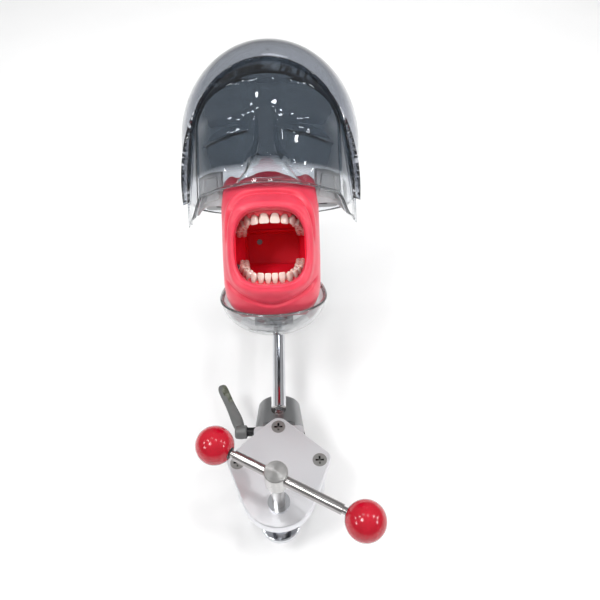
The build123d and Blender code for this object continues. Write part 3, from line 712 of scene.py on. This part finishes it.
def make_vault(prefix, arch, place, body, stand):
    """The palate, or the floor of the lower arch: a ribbed sheet that rises inside the gum."""
    rows, across = 34, 29
    front = arch.front
    level = BITE_Z + BITE_GAP + CROWN + 1.2
    points = []
    for y in np.linspace(front + 4.5, VAULT_BACK, rows):
        reach = min(max(front + arch.depth - y, 0.0) / arch.depth, 1.0)
        side = arch.half_width * (1 - reach**ARCH_POWER) ** (1 / ARCH_POWER)
        half = max(side - 5.2, 1.0) + 2.2 * smoothstep(y, -32.0, -20.0)
        rise = VAULT_RISE * (1 - smoothstep(y, -34.0, -18.0)) * smoothstep(y, front, front + 22)
        for u in np.linspace(-1, 1, across):
            rugae = 0.35 * math.sin(y * 1.5 + 3 * u * u) * hill(y, front + 14, 9) * hill(u, 0, 0.5)
            points.append([u * half, y, level + rise * (1 - u**4) + rugae])
    vault = piece(f"{prefix}_gum_vault", stand(points), grid_faces(rows, across), MATERIALS["deep_red"],
                  body, (), place)
    add_modifier(vault, "SOLIDIFY", thickness=1.0 * MM, offset=1.0 if prefix == "upper" else -1.0)


# ---------- clear shells ----------

# Heights in the head's frame: the shells' lower rim, and where their domes begin.
RIM_Z = 47.0
FORM_Z = 104.0
SPLIT_LOW = np.array([0.0, 0.0, RIM_Z])
SPLIT_HIGH = np.array([0.0, -62.0, 147.0])
SHELL_Y, SHELL_AXES = 24.0, (83.0, 90.0, 92.0)
MASK_Y, MASK_AXES = 26.0, (75.0, 104.0, 82.0)
FORM_CENTRE = Vector((0, SHELL_Y, FORM_Z))
WALL = 2.2
WELD, ON_CUT, FLANGE_STEP = 1e-4, 0.01, 0.8


def split_plane(shift=0.0):
    """A point and the rearward normal of the slanting plane where mask and skull shell meet."""
    along = SPLIT_HIGH - SPLIT_LOW
    normal = np.cross(np.array([1.0, 0, 0]), along)
    normal = normal / np.linalg.norm(normal)
    if normal[1] < 0:
        normal = -normal
    return SPLIT_LOW + normal * shift, normal


def cut_with_flange(points, faces, keep_rear, shift, flange):
    """Cuts a surface at the split plane and turns a flange outwards along the cut."""
    point, normal = (Vector(v) for v in split_plane(shift))
    work = bmesh.new()
    made = [work.verts.new(p) for p in points]
    for face in faces:
        work.faces.new([made[i] for i in face])
    bmesh.ops.remove_doubles(work, verts=work.verts, dist=WELD)
    geometry = work.verts[:] + work.edges[:] + work.faces[:]
    bmesh.ops.bisect_plane(work, geom=geometry, plane_co=point, plane_no=normal, dist=WELD,
                           clear_inner=keep_rear, clear_outer=not keep_rear)
    on_cut = [e for e in work.edges if e.is_boundary
              and all(abs(normal.dot(v.co - point)) < ON_CUT for v in e.verts)]
    bmesh.ops.recalc_face_normals(work, faces=work.faces)
    outward = sum(f.normal.dot(f.calc_center_median() - FORM_CENTRE) * f.calc_area() for f in work.faces)
    if outward < 0:
        bmesh.ops.reverse_faces(work, faces=work.faces)
    work.verts.index_update()
    sheet = [v.co.copy() for v in work.verts], [[v.index for v in f.verts] for f in work.faces]
    spine = Vector(SPLIT_HIGH - SPLIT_LOW).normalized()
    cut = sorted({v for e in on_cut for v in e.verts},
                 key=lambda v: math.atan2(v.co.x, (v.co - FORM_CENTRE).dot(spine)))
    inner = [cut[0].co.copy()]
    for vertex in cut[1:]:
        if (vertex.co - inner[-1]).length > FLANGE_STEP:
            inner.append(vertex.co.copy())
    work.free()
    outer = []
    for co in inner:
        spoke = co - FORM_CENTRE
        spoke -= normal * spoke.dot(normal)
        outer.append(co + spoke.normalized() * flange)
    return joined([sheet, (inner + outer, grid_faces(2, len(inner)))])


DRUM_SHARE, DRUM_TAPER = 0.32, 0.05


def make_rear_shell():
    """Skull shell: a dome on a slightly tapering drum, with a flange at the front."""
    a, b, c = SHELL_AXES
    around, up = 160, 76
    points = []
    for i in range(up + 1):
        level = i / up
        if level < DRUM_SHARE:
            z = RIM_Z + (FORM_Z - RIM_Z) * level / DRUM_SHARE
            r = 1 - DRUM_TAPER * (1 - level / DRUM_SHARE) ** 2
        else:
            lift = (level - DRUM_SHARE) / (1 - DRUM_SHARE) * math.pi / 2
            z, r = FORM_Z + c * math.sin(lift), max(math.cos(lift), 0.002)
        for angle in turns(around):
            points.append([a * r * math.sin(angle), SHELL_Y - b * r * math.cos(angle), z])
    faces = grid_faces(up + 1, around, wrap_columns=True)
    points, faces = cut_with_flange(points, faces, keep_rear=True, shift=1.5, flange=5.0)
    shell = piece("skull_shell", points, faces, MATERIALS["shell"], "head", ["rear_shell"],
                  HEAD)
    add_modifier(shell, "SOLIDIFY", thickness=WALL * MM, offset=-1.0)


def face_relief(x, z):
    """How far the face stands out from the mask's plain form, in millimetres."""
    ax = np.abs(x)
    nose_line = np.interp(z, [52, 58, 65, 80, 96, 106], [0, 8, 20, 13, 6, 0])
    nose_width = np.interp(z, [50, 62, 80, 106], [13, 11, 7, 6])
    nose = nose_line * np.exp(-((ax / nose_width) ** 2.6))
    wings = 5.5 * hill(ax, 12, 4.2) * hill(z, 63, 6)
    brow = 4.0 * hill(z, 101 - 0.06 * ax, 7) * smoothstep(ax, 6, 18) * (1 - smoothstep(ax, 44, 58))
    socket = -3.2 * hill(ax, 31, 15) * hill(z, 89, 9)
    lid = 2.6 * hill(ax, 32, 12) * hill(z, 87, 6.5)
    lash_z = 89.5 - 0.16 * (ax - 15)
    lash_line = -1.7 * hill(z, lash_z, 1.2) * smoothstep(ax, 13, 17) * (1 - smoothstep(ax, 46, 54))
    cheek = 3.5 * hill(ax, 38, 15) * hill(z, 60, 13)
    fold_line = 14 + (62 - z) * 0.85
    fold = -2.6 * hill(ax, fold_line, 1.8) * smoothstep(z, 44, 52) * (1 - smoothstep(z, 60, 66))
    philtrum = -1.2 * hill(ax, 0, 3.0) * (1 - smoothstep(z, 50, 56))
    corner = 30.0
    dx = np.maximum(ax - (58 - corner), 0)
    dz = np.maximum(z - (128 - corner), 0)
    outline = np.hypot(dx, dz) - corner
    step = 2.2 * smoothstep(outline, -1.5, 2.0)
    return nose + wings + brow + socket + lid + cheek + fold + philtrum + step + lash_line


def mask_point(angle, z):
    """A point of the mask's outer face at an angle from straight ahead and a height."""
    a, b, c = MASK_AXES
    r = np.sqrt(np.clip(1 - (np.clip(z - FORM_Z, 0, c) / c) ** 2, 0.0004, 1))
    x = a * r * np.sin(angle)
    y = MASK_Y - b * r * np.cos(angle)
    front = smoothstep(np.cos(angle), 0.05, 0.6)
    y = y - face_relief(x, z) * front
    return x, y, z


def mask_rim(x):
    """Height of the mask's lower edge, dropping to a hook at each side."""
    ax = np.abs(x)
    return 48.0 - 4.0 * np.clip(ax / 48, 0, 1) ** 2 - 16.0 * smoothstep(ax, 56, 68)


MASK_REACH = 96
MASK_TOP = 0.985


def make_mask():
    """Face mask: nose, brows, closed lids and cheeks pressed into a clear shell."""
    angles = np.radians(np.linspace(-MASK_REACH, MASK_REACH, 261))
    low = mask_rim(MASK_AXES[0] * np.sin(angles))
    rows = 210
    grid = []
    for level in np.linspace(0, 1, rows):
        z = low + (FORM_Z + MASK_AXES[2] * MASK_TOP - low) * level
        grid += list(zip(*mask_point(angles, z)))
    faces = grid_faces(rows, len(angles))
    points, faces = cut_with_flange(grid, faces, keep_rear=False, shift=0.0, flange=4.0)
    mask = piece("clear_face_mask", points, faces, MATERIALS["mask"], "head", ["face_mask"],
                 HEAD)
    add_modifier(mask, "SOLIDIFY", thickness=WALL * MM, offset=-1.0)


def make_mould_lines():
    """The rolled lower rim of the mask and the moulded line of each closed lid."""
    rim_angles = np.radians(np.linspace(-62, 62, 121))
    x, y, z = mask_point(rim_angles, mask_rim(MASK_AXES[0] * np.sin(rim_angles)) + 0.6)
    parts = [tube(list(zip(x, y - 0.4, z)), 1.25, 10)]
    run = np.linspace(0, 1, 40)
    across = 15 + 35 * run
    height = 88 + 2.2 * np.sin(run * math.pi) - 5.5 * run**1.5 + 0.4 * np.sin(run * 21)
    for side in (-1, 1):
        angle = np.arcsin(np.clip(side * across / MASK_AXES[0], -1, 1))
        x, y, z = mask_point(angle, height)
        parts.append(tube(list(zip(x, y - 0.3, z)), 0.55, 8))
    points, faces = joined(parts)
    piece("mask_mould_lines", points, faces, MATERIALS["clear"], "head", (), HEAD)


# Where a clip lies: degrees from straight ahead, and millimetres up the head.
CLIP_FROM, CLIP_SPAN = 33.0, 38.0
CLIP_LOW, CLIP_HEIGHT = 35, 27
CLIP_ROWS, CLIP_COLUMNS = 9, 15
CLIP_INSET, FRAME_INSET = 0.955, 0.962
# The pocket frame's corners: share of the clip's span, and height.
POCKET = ((0.04, 40), (0.10, 58), (0.40, 59), (0.48, 39))


def clip_point(side, share, inset, z):
    """A point on the mask's form, drawn in by a factor, at a share of the clip's span."""
    angle = math.radians(CLIP_FROM + CLIP_SPAN * share) * side
    a, b, _ = MASK_AXES
    return Vector((a * inset * math.sin(angle), MASK_Y - b * inset * math.cos(angle), z))


def make_clips():
    """Frosted corner clips: a curved pad, one each side."""
    parts = []
    for side in (-1, 1):
        points = []
        for level in np.linspace(0, 1, CLIP_ROWS):
            z = CLIP_LOW + CLIP_HEIGHT * level
            for f in np.linspace(0, 1, CLIP_COLUMNS):
                arched = z + 3.0 * math.sin(math.pi * f) - 2 * (1 - level) - 5.0 * f * level
                points.append(clip_point(side, f, CLIP_INSET, arched))
        parts.append((points, grid_faces(CLIP_ROWS, CLIP_COLUMNS)))
    points, faces = joined(parts)
    clips = piece("mask_corner_clips", points, faces, MATERIALS["frost"], "head", ["mask_clips"],
                  HEAD)
    add_modifier(clips, "SOLIDIFY", thickness=3.0 * MM, offset=-1.0)
    add_modifier(clips, "BEVEL", width=0.8 * MM, segments=2)


def make_pocket_frames():
    """The raised frame of the pocket on each clip."""
    frames = []
    for side in (-1, 1):
        corners = [clip_point(side, share, FRAME_INSET, z) for share, z in POCKET]
        loop = []
        for start, end in zip(corners, corners[1:] + corners[:1]):
            loop += [start.lerp(end, f) for f in np.linspace(0.04, 0.96, 8)]
        frames.append(tube(loop, 0.9, 8, closed=True))
    points, faces = joined(frames)
    piece("clip_pocket_frames", points, faces, MATERIALS["frost"], "head", (), HEAD)


GUARD_Y, GUARD_Z, GUARD_AXES = -46.0, -26.0, (44.5, 41.0, 31.0)
GUARD_REACH = 112


def make_chin_guard():
    """Clear chin bowl with a beaded rim, swept up to a tip at each side."""
    a, b, c = GUARD_AXES
    columns, rows = 141, 44
    points = []
    for level in np.linspace(0, 1, rows):
        for angle in np.radians(np.linspace(-GUARD_REACH, GUARD_REACH, columns)):
            start = math.asin(0.05) - 0.22 * (abs(angle) / 2) ** 6
            lat = start + (math.pi / 2 * 0.985 - start) * level
            r = math.cos(lat) ** 0.86
            points.append([a * r * math.sin(angle), GUARD_Y - b * r * math.cos(angle),
                           GUARD_Z - c * math.sin(lat)])
    guard = piece("clear_chin_guard", points, grid_faces(rows, columns), MATERIALS["clear"], "mandible",
                  ["chin_guard"], LOWER)
    add_modifier(guard, "SOLIDIFY", thickness=WALL * MM, offset=-1.0)
    bead, bead_faces = tube(points[:columns], 1.2, 8)
    piece("chin_guard_rim", bead, bead_faces, MATERIALS["clear"], "mandible", (), LOWER)


# ---------- silicone shroud ----------

# Heights in the head's frame, with the shroud's front and its half width at each.
SHROUD_Z = [-60, -52, -42, -32, -10, 12, 28, 36, 44, 52, 58]
SHROUD_FRONT = [-56, -66, -75, -81, -84, -85, -84.5, -78, -72, -67, -60]
SHROUD_HALF = [24, 33, 38.5, 40, 40.5, 40.5, 40.5, 40.5, 40, 39, 36]
# The way round goes from 0 at the front to 1 at the back, and is straight from SIDE_FROM on.
SIDE_FROM = 0.75
CURVE_Y, BACK_Y = -42.0, -10
CORNER_POWER = 0.72
MOUTH_HALF, MOUTH_LOW, MOUTH_HIGH = 28.6, -33.5, 27.0
# The lip's inner roll, from the edge on: how far towards the mouth's middle, and how deep.
LIP_ROLL = [(0.35, 1.1), (0.9, 2.6), (1.3, 4.2), (1.3, 6.0), (0.9, 8.0), (0.2, 10.0), (-0.6, 12.5)]


def smooth_table(z, values):
    """A table read with rounded steps."""
    spread = np.array([-4.0, -2.0, 0.0, 2.0, 4.0])
    weights = np.array([1.0, 2.0, 3.0, 2.0, 1.0])
    z = np.asarray(z, float)
    return sum(w * np.interp(z + d, SHROUD_Z, values) for d, w in zip(spread, weights)) / weights.sum()


def shroud_point(a, z, out):
    """A point of the shroud: a runs round from the front, out is the relief outwards."""
    half, front = smooth_table(z, SHROUD_HALF), smooth_table(z, SHROUD_FRONT)
    side = 1 if a >= 0 else -1
    a = abs(a)
    if a <= SIDE_FROM:
        angle = a / SIDE_FROM * math.pi / 2
        x = half * math.sin(angle) ** CORNER_POWER
        y = CURVE_Y - (CURVE_Y - front) * math.cos(angle) ** CORNER_POWER
        normal = Vector((math.sin(angle), -math.cos(angle), 0))
    else:
        x = half
        y = CURVE_Y + (a - SIDE_FROM) / (1 - SIDE_FROM) * (BACK_Y - CURVE_Y)
        normal = Vector((1, 0, 0))
    p = Vector((x, y, z)) + normal * out
    return Vector((side * p.x, p.y, p.z))


def mouth_edge(angle):
    """The mouth opening in the plane of x and z."""
    c, s = math.cos(angle), math.sin(angle)
    x = math.copysign(abs(c) ** 0.62, c) * MOUTH_HALF
    z = (MOUTH_LOW + MOUTH_HIGH) / 2 + math.copysign(abs(s) ** 0.78, s) * (MOUTH_HIGH - MOUTH_LOW) / 2
    return x, z


def mouth_a(x, z):
    """Where a point of the opening lies round the shroud."""
    half = smooth_table(z, SHROUD_HALF)
    share = min(abs(x) / half, 1.0)
    return math.copysign(math.asin(share ** (1 / CORNER_POWER)) / (math.pi / 2) * SIDE_FROM, x)


def lip_relief(distance, x, z):
    """Lips, the fold outside them and the chin crease."""
    upper = smoothstep(z, 0.0, 30.0)
    lower = smoothstep(-z, 5.0, 35.0)
    middle = 1 - smoothstep(abs(x), 8.0, 36.0)
    edge = 0.9 * hill(distance, 1.2, 1.1)
    lips = (1.4 + 1.6 * upper + 2.2 * lower * middle) * hill(distance, 5.0, 4.2)
    fold = -2.2 * hill(distance, 6.5 + 6.5 * middle, 1.7) * smoothstep(z, -4.0, 16.0)
    ridge = 1.5 * hill(distance, 10.5 + 7.0 * middle, 3.0) * upper
    crease_z = -49.0 + 0.42 * abs(x) + 0.012 * x**2
    crease = -2.6 * hill(z, crease_z, 1.6) * (1 - smoothstep(abs(x), 22.0, 31.0))
    nose_dents = -1.6 * hill(abs(x), 12.0, 3.5) * smoothstep(z, 44.0, 52.0)
    return edge + lips + fold + ridge + crease + nose_dents


def shroud_top(x):
    """Height of the shroud's wavy upper edge: a peak under the nose, a hump at each side of it."""
    return 50.5 + 10.0 * hill(x, 0.0, 8.0) + 7.0 * hill(abs(x), 19.0, 8.5) + 2.0 * hill(abs(x), 34.0, 6.0)


SHROUD_AROUND, SHROUD_RINGS = 180, 60
SHROUD_MID, SHROUD_REACH = -0.5, 57.0


def lip_ring(curl, depth):
    """One ring of the rolled lip inside the mouth's edge."""
    loop = []
    for angle in turns(SHROUD_AROUND):
        x, z = mouth_edge(angle)
        roll = Vector((-math.cos(angle) * curl, depth, -math.sin(angle) * curl))
        loop.append(shroud_point(mouth_a(x, z), z, 1.0) + roll)
    return loop


def skin_ring(share):
    """One ring of the outer skin, part of the way from the mouth's edge to the borders."""
    loop = []
    for angle in turns(SHROUD_AROUND):
        c, s = math.cos(angle), math.sin(angle)
        ex, ez = mouth_edge(angle)
        ea = mouth_a(ex, ez)
        reach = min(1 / max(abs(c), 1e-6), 1 / max(abs(s), 1e-6))
        oa = c * reach
        top = shroud_top(oa * 44.0) - SHROUD_MID if s > 0 else SHROUD_REACH
        oz = SHROUD_MID + s * reach * top
        a, z = ea + (oa - ea) * share, ez + (oz - ez) * share
        flat = math.hypot((abs(a) - abs(ea)) * 68 if a * ea > 0 else (a - ea) * 68, z - ez)
        loop.append(shroud_point(a, z, lip_relief(flat, a * 55, z)))
    return loop


def make_shroud():
    """One skin from the rolled lip over the mouth's edge to the shroud's borders."""
    loops = [lip_ring(curl, depth) for curl, depth in reversed(LIP_ROLL)]
    loops += [skin_ring((ring / SHROUD_RINGS) ** 1.35) for ring in range(SHROUD_RINGS + 1)]
    points = [p for loop in loops for p in loop]
    faces = grid_faces(len(loops), SHROUD_AROUND, wrap_columns=True)
    shroud = piece("silicone_shroud", points, faces, MATERIALS["pink"], None, ["face_shroud"],
                   HEAD)
    add_modifier(shroud, "SOLIDIFY", thickness=1.8 * MM, offset=-1.0)
    blend_jaw(shroud)


def blend_jaw(obj):
    """Keeps what the piece's modifiers make as its own mesh, and bakes its place into the mesh."""
    apply_modifiers(obj)
    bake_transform(obj)


def apply_modifiers(obj):
    """Keeps what the modifiers make as the piece's own mesh."""
    shown = obj.evaluated_get(bpy.context.evaluated_depsgraph_get())
    mesh = bpy.data.meshes.new_from_object(shown)
    obj.modifiers.clear()
    obj.data = mesh


CHEEK_FRONT, CHEEK_DEEP = -76, 55


def make_cheeks():
    """Deep-red cheek linings from the lips back to the mouth liner."""
    rows, columns = 22, 26
    sheets = []
    for side in (-1, 1):
        points = []
        for i in range(rows):
            y = CHEEK_FRONT + CHEEK_DEEP * (i / (rows - 1))
            x = np.interp(y, [-76, -68, -58, -40, -34, -27, -21], [27.5, 32.5, 34.6, 34.6, 32.5, 25.5, 23.2])
            low = np.interp(y, [-76, -60, -40, -32, -21], [-27, -30, -22, -12, -22])
            high = np.interp(y, [-76, -60, -40, -32, -21], [22, 26, 18, 14, 14])
            for j in range(columns):
                points.append([side * x, y, low + (high - low) * j / (columns - 1)])
        sheets.append((points, grid_faces(rows, columns)))
    points, faces = joined(sheets)
    cheeks = piece("cheek_linings", points, faces, MATERIALS["deep_red"], None, (), HEAD)
    add_modifier(cheeks, "SOLIDIFY", thickness=0.8 * MM, offset=0.0)
    blend_jaw(cheeks)


# ---------- stage ----------

# The camera's place in metres, and its turn about X, Y and Z in degrees.
CAMERA_AT = (0.01866, -0.20777, 0.55249)
CAMERA_TURN = (40.761, 0.953, -1.707)
CAMERA_LENS = 38.03


def make_camera():
    camera = bpy.data.cameras.new("camera")
    camera.lens = CAMERA_LENS
    camera.sensor_width = 36.0
    camera.clip_start, camera.clip_end = 0.01, 20.0
    obj = bpy.data.objects.new("camera", camera)
    bpy.context.collection.objects.link(obj)
    obj.location = CAMERA_AT
    obj.rotation_euler = [math.radians(angle) for angle in CAMERA_TURN]
    bpy.context.scene.camera = obj


def area_light(name, at, target, size, energy, size_y=None, in_reflections=True):
    """A square lamp, or a rectangle when a second side is given, that faces its target."""
    light = bpy.data.lights.new(name, "AREA")
    light.energy = energy
    light.size = size
    if size_y:
        light.shape = "RECTANGLE"
        light.size_y = size_y
    obj = bpy.data.objects.new(name, light)
    bpy.context.collection.objects.link(obj)
    obj.visible_glossy = in_reflections
    obj.location = at
    obj.rotation_euler = (Vector(target) - Vector(at)).to_track_quat("-Z", "Y").to_euler()


FLOOR_HALF = 6.0
LAMP_LONG, LAMP_WIDE, LAMP_ENERGY = 0.13, 0.045, 0.9
# Small lamps round the face: degrees to the side and up, in the head's frame.
LAMPS = ((-62, 8), (-40, 24), (-18, 40), (12, 30), (46, 18), (64, 4), (-52, -14), (56, -12))


def make_floor():
    low = min(CAD_LOW[2], 0.0)
    corners = [(-1, -1), (1, -1), (1, 1), (-1, 1)]
    mesh = bpy.data.meshes.new("floor")
    mesh.from_pydata([(x * FLOOR_HALF, y * FLOOR_HALF, low) for x, y in corners], [], [[0, 1, 2, 3]])
    floor = bpy.data.objects.new("floor", mesh)
    bpy.context.collection.objects.link(floor)
    paint = Nodes("pale_floor").set(Roughness=0.9)
    paint.colour(paint.noise(3.0), (0.86, 0.86, 0.86), (0.90, 0.90, 0.90))
    mesh.materials.append(paint.material)


def make_world():
    """A studio room that goes from grey below to white above."""
    world = bpy.data.worlds.new("studio")
    world.use_nodes = True
    tree = world.node_tree
    coord = tree.nodes.new("ShaderNodeTexCoord")
    split = tree.nodes.new("ShaderNodeSeparateXYZ")
    ramp = tree.nodes.new("ShaderNodeValToRGB")
    below, above = ramp.color_ramp.elements
    below.position, above.position = 0.0, 0.75
    below.color, above.color = (0.60, 0.60, 0.61, 1), (1, 1, 1, 1)
    tree.links.new(coord.outputs["Generated"], split.inputs["Vector"])
    tree.links.new(split.outputs["Z"], ramp.inputs["Fac"])
    tree.links.new(ramp.outputs["Color"], tree.nodes["Background"].inputs["Color"])
    tree.nodes["Background"].inputs["Strength"].default_value = 0.5
    bpy.context.scene.world = world
    bpy.context.scene.view_settings.view_transform = "Standard"


def make_lights():
    """Broad light from above, a key and two fills, and the small lamps that shine in the mask."""
    centre = (Vector(CAD_LOW) + Vector(CAD_HIGH)) / 2
    for name, offset, size, energy, shines in (
        ("softbox", (0, 0, 2.5), 3.0, 21.0, False),
        ("key", (-0.5, -0.5, 1.1), 0.24, 4.5, True),
        ("fill", (0.9, -0.3, 0.8), 0.6, 3.0, False),
        ("back", (0.1, 1.0, 0.9), 0.4, 4.0, False),
    ):
        area_light(name, centre + Vector(offset), centre, size, energy, in_reflections=shines)
    low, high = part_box("face_mask")
    face = (Vector(low) + Vector(high)) / 2
    turn = HEAD.to_3x3()
    for index, (side, rise) in enumerate(LAMPS):
        side, rise = math.radians(side), math.radians(rise)
        away = Vector((math.cos(rise) * math.sin(side), -math.cos(rise) * math.cos(side), math.sin(rise)))
        area_light(f"lamp_{index}", face + turn @ away, face, LAMP_LONG, LAMP_ENERGY, LAMP_WIDE)


finish_cad_parts()
make_knobs()
make_lever()
make_arch("upper", UPPER_ARCH, UPPER_TEETH, UPPER, "head", flip=False)
make_arch("lower", LOWER_ARCH, LOWER_TEETH, LOWER, "mandible", flip=True)
make_rear_shell()
make_mask()
make_mould_lines()
make_clips()
make_pocket_frames()
make_chin_guard()
make_shroud()
make_cheeks()
make_camera()
make_floor()
make_world()
make_lights()
